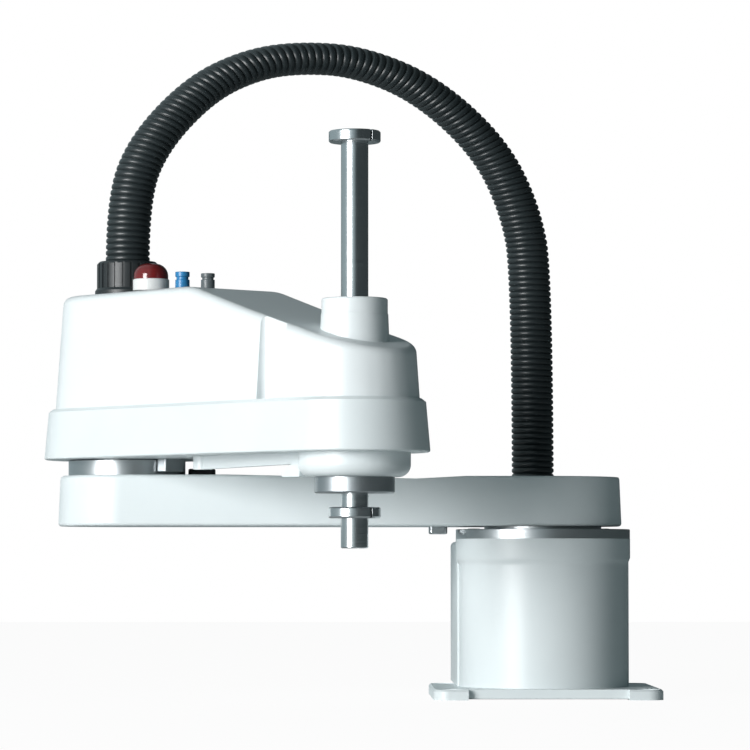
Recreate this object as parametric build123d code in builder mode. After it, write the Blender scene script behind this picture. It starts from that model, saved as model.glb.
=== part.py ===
from build123d import *

import os
from math import cos, pi, radians, sin, tan

os.makedirs("parts", exist_ok=True)

# A four-axis assembly robot that stands on a bench: two swinging arms, and a ball-screw spline
# shaft at the end that slides and turns.
# All sizes are in millimetres. The origin is on the first joint's axis, on the bench.
# +Z is up, and -Y is the robot's front. In the rest pose the first arm points along -X.

# Joint layout
arm_1_length = 325
arm_2_length = 275
elbow_at_rest = 130  # degrees away from the straight arm

# Clearances
running_gap = 0.3  # between pieces that turn or slide past each other
fit_gap = 0.05  # between pieces that seat in each other
bearing_gap = 0.1  # between the shaft and the nuts that carry it

# Base casting
plate_width = 175
plate_thick = 8
plate_corner = 12
plate_edge = 1.5
ear_length = 26.5
ear_recess = 6
relief_depth = 1
bolt_pitch = 150
bolt_hole_r = 4.5
spot_face_r = 10
spot_face_depth = 0.8
column_r = 65.6
collar_r = 68.1
collar_z = 108
flare_height = 6
base_top_z = 122.8
rear_box_width = 134
rear_box_reach = 180
rear_box_top_z = 121.6
rear_box_corner = 10
rear_box_edge = 4
rear_box_wall = 6
rear_box_front = 74  # where the hollow behind the column starts
rear_box_floor_z = 16
cable_way_r = 14
cable_way_z = 55
panel_thick = 3
panel_rim = 4

# First joint
ring_height = 7.5
ring_r = 68
ring_bore_r = 46
arm_1_bottom_z = 132.5
column_bore_r = 52
column_floor_z = 24
reducer_height = 26
reducer_recess_r = 31.5
motor_gap = 3
large_motor_size = 60
large_motor_length = 62
motor_flange_thick = 4
motor_flange_size = 70
motor_shaft_r = 7
motor_shaft_length = 20.8
stop_pin_r = 5
stop_pin_height = 10
stop_radius = 82
stop_pin_bearing = 39  # degrees either side of straight back
stop_lug_length = 14.5
stop_lug_width = 12
stop_lug_height = 6

# First arm
arm_1_root_r = 61.5
arm_1_tip_r = 53.4
arm_1_root_z = 170.8
arm_1_waist_z = 168.8
arm_1_tip_z = 172
arm_1_waist_x = -100
arm_1_draft = 2.4
arm_1_top_edge = 3.5
arm_1_bottom_edge = 2.5
stopper_length = 21
stopper_width = 14
stopper_height = 5.5
stopper_radius = 58.5

# Second joint
elbow_ring_r = 45.6
elbow_ring_bore_r = 34
elbow_ring_height = 11.7
elbow_gap = 0.6
elbow_bore_r = 40
elbow_reducer_height = 26
stop_block_length = 11
stop_block_width = 19
stop_block_height = 10
stop_block_gap = 0.8
stop_block_v = 3

# Second arm casting
band_rear_r = 64.4
band_front_r = 55.3
band_height = 39
band_draft = 5
band_top_edge = 2.5
band_bottom_edge = 1.5
band_floor = 8
belt_room_inset = 14
deck_ledge = 2
deck_level = 30
deck_thick = 6
quill_boss_r = 41
quill_boss_drop = 18
quill_boss_edge = 9
gusset_start = 48
gusset_width = 14
gusset_v = -22
gusset_low = 17.5
gusset_high = 8
gusset_tip = 5
rail_start = 124
rail_end = 250
rail_v = -22
rail_rear_boss_r = 7.2
rail_front_boss_r = 6
rail_width = 8
rail_rear_drop = 10
rail_front_drop = 7.8

# Second arm cover
cover_rear_r = 55.8
cover_front_r = 47.5
cover_top_z = 311.5
cover_wall = 3
cover_draft = 4
cover_edge = 7
cover_inner_edge = 4
slope_start = 134  # along the arm from the second joint
slope_break = 200
slope_break_z = 291.5
slope_end = 370
slope_end_z = 244
slope_rounds = (70, 150)
notch_start = 222
notch_end = 250
notch_half = 40.5  # from the arm's middle to the floor of the notch
notch_round = 5
turret_r = 24.6
turret_foot_r = 26
turret_foot_z = 250
turret_shoulder_z = 285
quill_cap_r = 24.2
quill_cap_height = 11.5
quill_cap_edge = 1
turret_wall = 3

# Shaft with its nuts
shaft_r = 10
shaft_bore_r = 7
shaft_bottom_z = 114.5
shaft_top_z = 419
shaft_edge = 0.8
tool_end_groove = 0.3  # hidden by the lower collar, where the tool's stretch of the shaft ends
tool_end_groove_width = 1.2
collar_outer_r = 19
upper_collar_height = 8.5
lower_collar_height = 8
lower_collar_z = 136.4
clamp_slit = 1.6
collar_edge = 1
seal_disc_r = 29.3
seal_disc_height = 11.7
nut_r = 16
nut_bearing_r = 28
nut_bearing_height = 14
pulley_height = 9
pulley_r = 20
pulley_tooth = 1.2
pulley_teeth = 32
motor_pulley_r = 10
motor_pulley_teeth = 16
belt_thick = 1.6
belt_width = 7
level_gap = 1.5
screw_nut_top = 34
deck_bearing_r = 26
deck_bearing_height = 9
deck_boss_wall = 5

# Motors inside the second arm
small_motor_size = 40
small_motor_u = 95
small_motor_v = 21.5
brake_motor_length = 76
roll_motor_length = 55
small_shaft_r = 4
elbow_motor_length = 74

# Fittings on the cover and the base
gland_r = 24
gland_height = 28
gland_bore_r = 14
gland_flange_r = 25.5
gland_flange_height = 5
gland_edge = 2
gland_ribs = 24
gland_rib_depth = 0.8
gland_rib_width = 2.2
lamp_u = 50
lamp_v = -15
lamp_r = 14
lamp_base_height = 9
lamp_gasket_height = 2
lamp_dome_r = 13.2
lamp_dome_height = 12
lamp_dome_round = 9.6
fitting_v = -10
blue_fitting_u = 83
blue_fitting_r = 5.5
blue_fitting_height = 15
grey_fitting_u = 114.5
grey_fitting_r = 5.25
grey_fitting_height = 12
tube_r = 3
tube_depth = 8
fitting_neck = 0.9
fitting_body_share = 0.6  # of a fitting's height, below its neck
fitting_ring_share = 0.25  # of a fitting's height, above its neck

# Conduit from the base to the second arm
conduit_r = 17.25
base_gland_y = 150

heading = radians(180 + elbow_at_rest)
elbow_x = -arm_1_length
along = (cos(heading), sin(heading), 0)
arm_1_plane = Plane(origin=(elbow_x, 0, 0), z_dir=(0, 0, 1))
arm_2_plane = Plane(origin=(elbow_x, 0, 0), x_dir=along, z_dir=(0, 0, 1))
shaft_spot = arm_2_plane.from_local_coords(Vector(arm_2_length, 0, 0))
shaft_plane = Plane(origin=shaft_spot, x_dir=along, z_dir=(0, 0, 1))


def arm_outline(first_r, second_r, spacing):
    """Draws an arm's plan: a round end, another one at the spacing along X, and straight sides."""
    Circle(first_r)
    with Locations((spacing, 0)):
        Circle(second_r)
    make_hull()


# Base


ear_span = plate_width - 2 * ear_length

with BuildPart() as base_casting:
    with BuildSketch():
        RectangleRounded(plate_width, plate_width, plate_corner)
    extrude(amount=plate_thick)
    chamfer(base_casting.faces().sort_by(Axis.Z)[-1].outer_wire().edges(), length=plate_edge)
    with BuildSketch():
        with Locations((0, -plate_width / 2)):
            Rectangle(ear_span, 2 * ear_recess)
    extrude(amount=plate_thick, mode=Mode.SUBTRACT)
    with BuildSketch():
        with Locations((0, -(plate_width - ear_length) / 2), (0, (plate_width - ear_length) / 2)):
            Rectangle(ear_span, ear_length)
    extrude(amount=relief_depth, mode=Mode.SUBTRACT)
    with BuildSketch(Plane.XY.offset(plate_thick)):
        with Locations((0, rear_box_reach / 2)):
            Rectangle(rear_box_width, rear_box_reach)
    extrude(amount=rear_box_top_z - plate_thick)
    back_posts = base_casting.edges().filter_by(Axis.Z).sort_by(Axis.Y)[-2:]
    fillet(back_posts, radius=rear_box_corner)
    box_top = base_casting.faces().filter_by(Axis.Z).sort_by(Axis.Z)[-1]
    fillet(box_top.outer_wire().edges(), radius=rear_box_edge)
    with BuildSketch(Plane.XZ):
        with BuildLine():
            Polyline(
                (0, plate_thick / 2),
                (column_r, plate_thick / 2),
                (column_r, collar_z - flare_height),
                (collar_r, collar_z),
                (collar_r, base_top_z),
                (0, base_top_z),
                close=True,
            )
        make_face()
    revolve(axis=Axis.Z)
    with BuildSketch(Plane.XY.offset(base_top_z)):
        Circle(column_bore_r)
    extrude(amount=column_floor_z - base_top_z, mode=Mode.SUBTRACT)
    with BuildSketch(Plane.XZ.offset(-rear_box_reach)):
        with Locations((0, (rear_box_floor_z + rear_box_top_z - rear_box_wall) / 2)):
            Rectangle(
                rear_box_width - 2 * rear_box_wall,
                rear_box_top_z - rear_box_wall - rear_box_floor_z,
            )
    extrude(amount=rear_box_reach - rear_box_front, mode=Mode.SUBTRACT)
    with BuildSketch(Plane.XZ.offset(-rear_box_reach)):
        with Locations((0, (rear_box_floor_z + rear_box_top_z - rear_box_wall) / 2)):
            Rectangle(
                rear_box_width - 2 * rear_box_wall + panel_rim,
                rear_box_top_z - rear_box_wall - rear_box_floor_z + panel_rim,
            )
    extrude(amount=panel_thick, mode=Mode.SUBTRACT)
    with BuildSketch(Plane.XZ.offset(-rear_box_front - 1)):
        with Locations((0, cable_way_z)):
            Circle(cable_way_r)
    extrude(amount=rear_box_front, mode=Mode.SUBTRACT)
    with BuildSketch(Plane.XY.offset(rear_box_top_z)):
        with Locations((0, base_gland_y)):
            Circle(gland_bore_r)
    extrude(amount=-2 * rear_box_wall, mode=Mode.SUBTRACT)
    with BuildSketch(Plane.XY.offset(plate_thick)):
        with GridLocations(bolt_pitch, bolt_pitch, 2, 2):
            Circle(spot_face_r)
    extrude(amount=-spot_face_depth, mode=Mode.SUBTRACT)
    with BuildSketch():
        with GridLocations(bolt_pitch, bolt_pitch, 2, 2):
            Circle(bolt_hole_r)
    extrude(amount=plate_thick, mode=Mode.SUBTRACT)
base_casting.part.label = "base_casting"
export_step(base_casting.part, "parts/base_casting.step")

# The panel closes the back of the base and carries the connectors.
panel_width = rear_box_width - 2 * rear_box_wall + panel_rim - 2 * fit_gap
panel_height = rear_box_top_z - rear_box_wall - rear_box_floor_z + panel_rim - 2 * fit_gap
panel_z = (rear_box_floor_z + rear_box_top_z - rear_box_wall) / 2
panel_face = Plane.XZ.offset(-rear_box_reach)
power_spot = (-34, panel_z + 22)
signal_spot = (2, panel_z + 22)
user_spot = (36, panel_z + 22)
power_r = 15
signal_r = 12
connector_hole = 0.8  # share of a connector's radius that passes through the panel
user_width = 39
user_height = 12.5
user_depth = 7
user_plug_width = 24
user_plug_height = 8.8
connector_depth = 14
port_z = panel_z - 20
port_spacing = 26
port_r = 6
port_neck_r = 4.8

with BuildPart() as rear_panel:
    with BuildSketch(panel_face):
        with Locations((0, panel_z)):
            Rectangle(panel_width, panel_height)
        with Locations(power_spot):
            Circle(power_r * connector_hole + fit_gap, mode=Mode.SUBTRACT)
        with Locations(signal_spot):
            Circle(signal_r * connector_hole + fit_gap, mode=Mode.SUBTRACT)
    extrude(amount=panel_thick)
rear_panel.part.label = "rear_panel"
export_step(rear_panel.part, "parts/rear_panel.step")

for name, spot, radius in (
    ("power_connector", power_spot, power_r),
    ("signal_connector", signal_spot, signal_r),
):
    with BuildPart() as connector:
        with BuildSketch(panel_face):
            with Locations(spot):
                Circle(radius)
        extrude(amount=-connector_depth)
        with BuildSketch(panel_face):
            with Locations(spot):
                Circle(radius * connector_hole)
        extrude(amount=panel_thick)
        chamfer(connector.faces().sort_by(Axis.Y)[-1].edges(), length=1)
    connector.part.label = name
    export_step(connector.part, f"parts/{name}.step")

with BuildPart() as user_connector:
    with BuildSketch(panel_face):
        with Locations(user_spot):
            RectangleRounded(user_width, user_height, user_height / 6)
    extrude(amount=-user_depth / 3)
    with BuildSketch(panel_face):
        with Locations(user_spot):
            RectangleRounded(user_plug_width, user_plug_height, user_height / 6)
    extrude(amount=-user_depth)
user_connector.part.label = "user_connector"
export_step(user_connector.part, "parts/user_connector.step")

with BuildPart() as base_air_ports:
    with BuildSketch(panel_face):
        with Locations(*[(port_spacing * step, port_z) for step in (-1, 0, 1)]):
            RegularPolygon(port_r, 6)
    extrude(amount=-connector_depth / 3)
    with BuildSketch(panel_face):
        with Locations(*[(port_spacing * step, port_z) for step in (-1, 0, 1)]):
            Circle(port_neck_r)
    extrude(amount=-connector_depth)
    with BuildSketch(panel_face.offset(-connector_depth)):
        with Locations(*[(port_spacing * step, port_z) for step in (-1, 0, 1)]):
            Circle(tube_r)
    extrude(amount=tube_depth, mode=Mode.SUBTRACT)
base_air_ports.part.label = "base_air_ports"
export_step(base_air_ports.part, "parts/base_air_ports.step")


# First joint


reducer_top_z = base_top_z + 1
reducer_bottom_z = reducer_top_z - reducer_height

with BuildPart() as j1_bearing_ring:
    with BuildSketch(Plane.XY.offset(base_top_z)):
        Circle(ring_r)
        Circle(ring_bore_r, mode=Mode.SUBTRACT)
    extrude(amount=ring_height)
    chamfer(j1_bearing_ring.faces().sort_by(Axis.Z)[-1].outer_wire().edges(), length=0.5)
j1_bearing_ring.part.label = "j1_bearing_ring"
export_step(j1_bearing_ring.part, "parts/j1_bearing_ring.step")

with BuildPart() as j1_output_flange:
    with BuildSketch(Plane.XY.offset(arm_1_bottom_z)):
        Circle(ring_bore_r - running_gap)
    extrude(amount=reducer_top_z + running_gap - arm_1_bottom_z)
j1_output_flange.part.label = "j1_output_flange"
export_step(j1_output_flange.part, "parts/j1_output_flange.step")

with BuildPart() as j1_reducer:
    with BuildSketch(Plane.XY.offset(reducer_bottom_z)):
        Circle(column_bore_r - fit_gap)
        Circle(motor_shaft_r + fit_gap, mode=Mode.SUBTRACT)
    extrude(amount=base_top_z - reducer_bottom_z)
    with BuildSketch(Plane.XY.offset(base_top_z)):
        Circle(ring_bore_r - running_gap)
        Circle(motor_shaft_r + fit_gap, mode=Mode.SUBTRACT)
    extrude(amount=reducer_top_z - base_top_z)
    with BuildSketch(Plane.XY.offset(reducer_bottom_z)):
        Circle(reducer_recess_r)
    extrude(amount=motor_gap, mode=Mode.SUBTRACT)
j1_reducer.part.label = "j1_reducer"
export_step(j1_reducer.part, "parts/j1_reducer.step")

with BuildPart() as j1_motor:
    with BuildSketch(Plane.XY.offset(reducer_bottom_z)):
        RectangleRounded(motor_flange_size, motor_flange_size, plate_corner)
    extrude(amount=-motor_flange_thick)
    with BuildSketch(Plane.XY.offset(reducer_bottom_z - motor_flange_thick)):
        RectangleRounded(large_motor_size, large_motor_size, plate_corner / 2)
    extrude(amount=-large_motor_length)
    with BuildSketch(Plane.XY.offset(reducer_bottom_z)):
        Circle(motor_shaft_r)
    extrude(amount=motor_shaft_length)
j1_motor.part.label = "j1_motor"
export_step(j1_motor.part, "parts/j1_motor.step")

stop_bearings = [radians(90 - stop_pin_bearing), radians(90 + stop_pin_bearing)]
with BuildPart() as j1_stop_pins:
    with BuildSketch(Plane.XY.offset(rear_box_top_z)):
        with Locations(*[(stop_radius * cos(a), stop_radius * sin(a)) for a in stop_bearings]):
            RegularPolygon(stop_pin_r, 6)
    extrude(amount=stop_pin_height)
j1_stop_pins.part.label = "j1_stop_pins"
export_step(j1_stop_pins.part, "parts/j1_stop_pins.step")


# First arm


elbow_bore_bottom_z = arm_1_tip_z - elbow_reducer_height
arm_1_lean = (arm_1_tip_z - arm_1_bottom_z) * tan(radians(arm_1_draft))
with BuildPart() as arm_1_casting:
    with BuildSketch(Plane.XY.offset(arm_1_bottom_z)):
        arm_outline(arm_1_root_r, arm_1_tip_r, elbow_x)
    with BuildSketch(Plane.XY.offset(arm_1_tip_z)):
        arm_outline(arm_1_root_r - arm_1_lean, arm_1_tip_r - arm_1_lean, elbow_x)
    loft(ruled=True)
    fillet(arm_1_casting.faces().sort_by(Axis.Z)[-1].edges(), radius=arm_1_top_edge)
    fillet(arm_1_casting.faces().sort_by(Axis.Z)[0].edges(), radius=arm_1_bottom_edge)
    with BuildSketch(Plane.XZ):
        with BuildLine():
            Polyline(
                (elbow_x - arm_1_root_r, arm_1_tip_z),
                (elbow_x + stopper_radius + stopper_length, arm_1_tip_z),
                (arm_1_waist_x, arm_1_waist_z),
                (-arm_1_root_r, arm_1_root_z),
                (2 * arm_1_root_r, arm_1_root_z),
                (2 * arm_1_root_r, arm_1_bottom_z),
                (elbow_x - arm_1_root_r, arm_1_bottom_z),
                close=True,
            )
        make_face()
    extrude(amount=2 * arm_1_root_r, both=True, mode=Mode.INTERSECT)
    with BuildSketch(arm_1_plane.offset(elbow_bore_bottom_z)):
        Circle(elbow_bore_r)
    extrude(amount=elbow_reducer_height, mode=Mode.SUBTRACT)
arm_1_casting.part.label = "arm_1_casting"
export_step(arm_1_casting.part, "parts/arm_1_casting.step")

with BuildPart() as j1_stop_lug:
    with BuildSketch(Plane.XY.offset(arm_1_bottom_z)):
        with Locations((-stop_radius, 0)):
            RectangleRounded(stop_lug_length, stop_lug_width, stop_lug_width / 4)
    extrude(amount=-stop_lug_height)
    fillet(j1_stop_lug.faces().sort_by(Axis.Z)[0].edges(), radius=stop_lug_height / 4)
j1_stop_lug.part.label = "j1_stop_lug"
export_step(j1_stop_lug.part, "parts/j1_stop_lug.step")

with BuildPart() as j2_stopper:
    with BuildSketch(Plane.XY.offset(arm_1_tip_z)):
        with Locations((elbow_x + stopper_radius, 0)):
            RectangleRounded(stopper_length, stopper_width, stopper_width / 5)
    extrude(amount=stopper_height)
    fillet(j2_stopper.faces().sort_by(Axis.Z)[-1].edges(), radius=stopper_height / 4)
j2_stopper.part.label = "j2_stopper"
export_step(j2_stopper.part, "parts/j2_stopper.step")


# Second joint


band_bottom_z = arm_1_tip_z + elbow_ring_height + elbow_gap
band_top_z = band_bottom_z + band_height
floor_z = band_bottom_z + band_floor
elbow_flange_r = elbow_ring_bore_r - running_gap

with BuildPart() as j2_bearing_ring:
    with BuildSketch(arm_1_plane.offset(arm_1_tip_z)):
        Circle(elbow_ring_r)
        Circle(elbow_ring_bore_r, mode=Mode.SUBTRACT)
    extrude(amount=elbow_ring_height)
    chamfer(j2_bearing_ring.faces().sort_by(Axis.Z)[-1].outer_wire().edges(), length=0.5)
j2_bearing_ring.part.label = "j2_bearing_ring"
export_step(j2_bearing_ring.part, "parts/j2_bearing_ring.step")

with BuildPart() as j2_reducer:
    with BuildSketch(arm_1_plane.offset(elbow_bore_bottom_z)):
        Circle(elbow_bore_r - fit_gap)
    extrude(amount=elbow_reducer_height)
    with BuildSketch(arm_1_plane.offset(elbow_bore_bottom_z + elbow_reducer_height / 2)):
        Circle(motor_shaft_r + fit_gap)
    extrude(amount=elbow_reducer_height / 2, mode=Mode.SUBTRACT)
j2_reducer.part.label = "j2_reducer"
export_step(j2_reducer.part, "parts/j2_reducer.step")

with BuildPart() as j2_output_flange:
    with BuildSketch(arm_2_plane.offset(arm_1_tip_z + running_gap)):
        Circle(elbow_flange_r)
        Circle(motor_shaft_r + fit_gap, mode=Mode.SUBTRACT)
    extrude(amount=elbow_ring_height + elbow_gap - running_gap)
j2_output_flange.part.label = "j2_output_flange"
export_step(j2_output_flange.part, "parts/j2_output_flange.step")

with BuildPart() as j2_motor:
    with BuildSketch(arm_2_plane.offset(floor_z)):
        RectangleRounded(large_motor_size, large_motor_size, plate_corner / 2)
    extrude(amount=elbow_motor_length)
    chamfer(j2_motor.faces().sort_by(Axis.Z)[-1].edges(), length=2)
    with BuildSketch(arm_2_plane.offset(floor_z)):
        Circle(motor_shaft_r)
    extrude(amount=arm_1_tip_z - elbow_reducer_height / 3 - floor_z)
j2_motor.part.label = "j2_motor"
export_step(j2_motor.part, "parts/j2_motor.step")

with BuildPart() as j2_stop_block:
    with BuildSketch(arm_2_plane.offset(band_bottom_z)):
        with Locations((elbow_ring_r + stop_block_gap + stop_block_length / 2, stop_block_v)):
            Rectangle(stop_block_length, stop_block_width)
    extrude(amount=-stop_block_height)
    chamfer(j2_stop_block.edges().filter_by(Axis.Z), length=1)
j2_stop_block.part.label = "j2_stop_block"
export_step(j2_stop_block.part, "parts/j2_stop_block.step")


# Second arm casting


arm_2_side = Plane(origin=(elbow_x, 0, 0), x_dir=along, z_dir=(along[1], -along[0], 0))
quill_bottom_z = band_bottom_z - quill_boss_drop
nut_bore_r = nut_bearing_r + fit_gap
deck_z = band_bottom_z + deck_level
band_lean = band_height * tan(radians(band_draft))
belt_room_r = (band_rear_r - belt_room_inset, band_front_r - belt_room_inset)
deck_seat_r = (belt_room_r[0] + deck_ledge, belt_room_r[1] + deck_ledge)

with BuildPart() as arm_2_casting:
    with BuildSketch(arm_2_plane.offset(band_bottom_z)):
        arm_outline(band_rear_r, band_front_r, arm_2_length)
    with BuildSketch(arm_2_plane.offset(band_top_z)):
        arm_outline(band_rear_r - band_lean, band_front_r - band_lean, arm_2_length)
    loft(ruled=True)
    chamfer(arm_2_casting.faces().sort_by(Axis.Z)[-1].edges(), length=band_top_edge)
    fillet(arm_2_casting.faces().sort_by(Axis.Z)[0].edges(), radius=band_bottom_edge)
    with BuildSketch(arm_2_plane.offset(floor_z)):
        arm_outline(*belt_room_r, arm_2_length)
    extrude(amount=band_height, mode=Mode.SUBTRACT)
    with BuildSketch(arm_2_plane.offset(deck_z)):
        arm_outline(*deck_seat_r, arm_2_length)
    extrude(amount=band_height, mode=Mode.SUBTRACT)
    with BuildSketch(shaft_plane.offset(quill_bottom_z)):
        Circle(quill_boss_r)
    extrude(amount=quill_boss_drop)
    quill_rim = arm_2_casting.faces().sort_by(Axis.Z)[0].edges()
    fillet(quill_rim, radius=quill_boss_edge)
    with BuildSketch(arm_2_side.offset(-gusset_v - gusset_width / 2)):
        with BuildLine():
            Polyline(
                (arm_2_length - gusset_start, band_bottom_z - gusset_low),
                (arm_2_length - gusset_start, band_bottom_z - gusset_low + gusset_tip),
                (arm_2_length - quill_boss_r + gusset_tip, band_bottom_z - gusset_high),
                (arm_2_length - nut_bearing_r, band_bottom_z - gusset_high),
                (arm_2_length - nut_bearing_r, band_bottom_z - gusset_low),
                close=True,
            )
        make_face()
    extrude(amount=gusset_width)
    with BuildSketch(shaft_plane.offset(quill_bottom_z)):
        Circle(nut_bore_r)
    extrude(amount=quill_boss_drop + band_floor, mode=Mode.SUBTRACT)
    with BuildSketch(arm_2_plane.offset(band_bottom_z)):
        Circle(motor_shaft_r + motor_gap)
    extrude(amount=band_floor, mode=Mode.SUBTRACT)
arm_2_casting.part.label = "arm_2_casting"
export_step(arm_2_casting.part, "parts/arm_2_casting.step")

# The rail under the arm runs from one round boss to the other.
with BuildPart() as under_arm_rail:
    with BuildSketch(arm_2_side.offset(-rail_v - rail_width / 2)):
        with BuildLine():
            Polyline(
                (rail_start, band_bottom_z),
                (rail_end, band_bottom_z),
                (rail_end, band_bottom_z - rail_front_drop),
                (rail_start, band_bottom_z - rail_rear_drop),
                close=True,
            )
        make_face()
    extrude(amount=rail_width)
    with BuildSketch(arm_2_plane.offset(band_bottom_z)):
        with Locations((rail_start, rail_v)):
            Circle(rail_rear_boss_r)
        with Locations((rail_end, rail_v)):
            Circle(rail_front_boss_r)
    extrude(amount=-rail_front_drop)
    with BuildSketch(arm_2_plane.offset(band_bottom_z)):
        with Locations((rail_start, rail_v)):
            Circle(rail_rear_boss_r)
    extrude(amount=-rail_rear_drop)
    with BuildSketch(shaft_plane.offset(quill_bottom_z)):
        Circle(quill_boss_r + fit_gap)
    extrude(amount=quill_boss_drop, mode=Mode.SUBTRACT)
under_arm_rail.part.label = "under_arm_rail"
export_step(under_arm_rail.part, "parts/under_arm_rail.step")

deck_top_z = deck_z + deck_thick
roll_level_z = deck_z - 2 * (pulley_height + level_gap / 2) - fit_gap
screw_level_z = roll_level_z + pulley_height + level_gap
deck_hole = large_motor_size + 2 * motor_gap
motor_spots = {"z": (small_motor_u, -small_motor_v), "roll": (small_motor_u, small_motor_v)}

with BuildPart() as motor_deck:
    with BuildSketch(arm_2_plane.offset(deck_z)):
        arm_outline(deck_seat_r[0] - fit_gap, deck_seat_r[1] - fit_gap, arm_2_length)
        Rectangle(deck_hole, deck_hole, mode=Mode.SUBTRACT)
        with Locations(*motor_spots.values()):
            Circle(motor_pulley_r + motor_gap, mode=Mode.SUBTRACT)
    extrude(amount=deck_thick)
    with BuildSketch(shaft_plane.offset(deck_top_z)):
        Circle(deck_bearing_r + deck_boss_wall)
    extrude(amount=deck_bearing_height - deck_thick)
    with BuildSketch(shaft_plane.offset(deck_z)):
        Circle(deck_bearing_r + fit_gap)
    extrude(amount=deck_bearing_height, mode=Mode.SUBTRACT)
motor_deck.part.label = "motor_deck"
export_step(motor_deck.part, "parts/motor_deck.step")

# The lift motor has a brake behind it and is longer than the roll motor.
for name, length, level_z in (
    ("z", brake_motor_length, screw_level_z),
    ("roll", roll_motor_length, roll_level_z),
):
    with BuildPart() as small_motor:
        with BuildSketch(arm_2_plane.offset(deck_top_z)):
            with Locations(motor_spots[name]):
                RectangleRounded(small_motor_size, small_motor_size, small_motor_size / 8)
        extrude(amount=length)
        chamfer(small_motor.faces().sort_by(Axis.Z)[-1].edges(), length=1.5)
        with BuildSketch(arm_2_plane.offset(deck_top_z)):
            with Locations(motor_spots[name]):
                Circle(small_shaft_r)
        extrude(amount=level_z - deck_top_z)
    small_motor.part.label = f"{name}_motor"
    export_step(small_motor.part, f"parts/{name}_motor.step")


def toothed_disc(radius, bore, teeth):
    """Draws a belt pulley's face, with a square gap between each two teeth."""
    Circle(radius)
    with PolarLocations(radius, teeth):
        Rectangle(2 * pulley_tooth, pi * radius / teeth, mode=Mode.SUBTRACT)
    Circle(bore, mode=Mode.SUBTRACT)


for name, level_z in (("z", screw_level_z), ("roll", roll_level_z)):
    with BuildPart() as motor_pulley:
        with BuildSketch(arm_2_plane.offset(level_z)):
            with Locations(motor_spots[name]):
                toothed_disc(motor_pulley_r, small_shaft_r + bearing_gap, motor_pulley_teeth)
        extrude(amount=pulley_height)
    motor_pulley.part.label = f"{name}_motor_pulley"
    export_step(motor_pulley.part, f"parts/{name}_motor_pulley.step")


def belt_loop(spot, growth):
    """Draws the area inside a belt that runs round a motor's pulley and a nut's pulley."""
    with Locations(spot):
        Circle(motor_pulley_r + growth)
    with Locations((arm_2_length, 0)):
        Circle(pulley_r + growth)
    make_hull()


for name, level_z in (("z", screw_level_z), ("roll", roll_level_z)):
    belt_z = level_z + (pulley_height - belt_width) / 2
    with BuildPart() as belt:
        with BuildSketch(arm_2_plane.offset(belt_z)):
            belt_loop(motor_spots[name], running_gap + belt_thick)
        extrude(amount=belt_width)
        with BuildSketch(arm_2_plane.offset(belt_z)):
            belt_loop(motor_spots[name], running_gap)
        extrude(amount=belt_width, mode=Mode.SUBTRACT)
    belt.part.label = f"{name}_belt"
    export_step(belt.part, f"parts/{name}_belt.step")


# Shaft and nuts


shaft_bore_in_nut = shaft_r + bearing_gap
spline_nut_bottom_z = quill_bottom_z + 1
spline_nut_height = roll_level_z + pulley_height - spline_nut_bottom_z
spline_bearing_z = quill_bottom_z + 2

with BuildPart() as spline_nut:
    with BuildSketch(shaft_plane.offset(spline_nut_bottom_z)):
        Circle(nut_r)
        Circle(shaft_bore_in_nut, mode=Mode.SUBTRACT)
    extrude(amount=spline_nut_height)
spline_nut.part.label = "spline_nut"
export_step(spline_nut.part, "parts/spline_nut.step")

with BuildPart() as spline_nut_bearing:
    with BuildSketch(shaft_plane.offset(spline_bearing_z)):
        Circle(nut_bearing_r)
        Circle(nut_r + bearing_gap, mode=Mode.SUBTRACT)
    extrude(amount=nut_bearing_height)
spline_nut_bearing.part.label = "spline_nut_bearing"
export_step(spline_nut_bearing.part, "parts/spline_nut_bearing.step")

with BuildPart() as screw_nut:
    with BuildSketch(shaft_plane.offset(screw_level_z)):
        Circle(nut_r)
        Circle(shaft_bore_in_nut, mode=Mode.SUBTRACT)
    extrude(amount=pulley_height + screw_nut_top)
screw_nut.part.label = "screw_nut"
export_step(screw_nut.part, "parts/screw_nut.step")

with BuildPart() as screw_nut_bearing:
    with BuildSketch(shaft_plane.offset(deck_z)):
        Circle(deck_bearing_r)
        Circle(nut_r + bearing_gap, mode=Mode.SUBTRACT)
    extrude(amount=deck_bearing_height)
screw_nut_bearing.part.label = "screw_nut_bearing"
export_step(screw_nut_bearing.part, "parts/screw_nut_bearing.step")

for name, level_z in (("screw_pulley", screw_level_z), ("spline_pulley", roll_level_z)):
    with BuildPart() as nut_pulley:
        with BuildSketch(shaft_plane.offset(level_z)):
            toothed_disc(pulley_r, nut_r + fit_gap, pulley_teeth)
        extrude(amount=pulley_height)
    nut_pulley.part.label = name
    export_step(nut_pulley.part, f"parts/{name}.step")

with BuildPart() as seal_disc:
    with BuildSketch(shaft_plane.offset(quill_bottom_z)):
        Circle(seal_disc_r)
        Circle(shaft_r + running_gap, mode=Mode.SUBTRACT)
    extrude(amount=-seal_disc_height)
    chamfer(seal_disc.faces().sort_by(Axis.Z)[0].outer_wire().edges(), length=0.8)
seal_disc.part.label = "seal_disc"
export_step(seal_disc.part, "parts/seal_disc.step")

with BuildPart() as shaft:
    with BuildSketch(shaft_plane.offset(shaft_bottom_z)):
        Circle(shaft_r)
        Circle(shaft_bore_r, mode=Mode.SUBTRACT)
    extrude(amount=shaft_top_z - shaft_bottom_z)
    with BuildSketch(shaft_plane.offset(lower_collar_z)):
        Circle(2 * shaft_r)
        Circle(shaft_r - tool_end_groove, mode=Mode.SUBTRACT)
    extrude(amount=tool_end_groove_width, mode=Mode.SUBTRACT)
    for end in (0, -1):
        chamfer(shaft.faces().sort_by(Axis.Z)[end].outer_wire().edges(), length=shaft_edge)
shaft.part.label = "shaft"
export_step(shaft.part, "parts/shaft.step")

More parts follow.
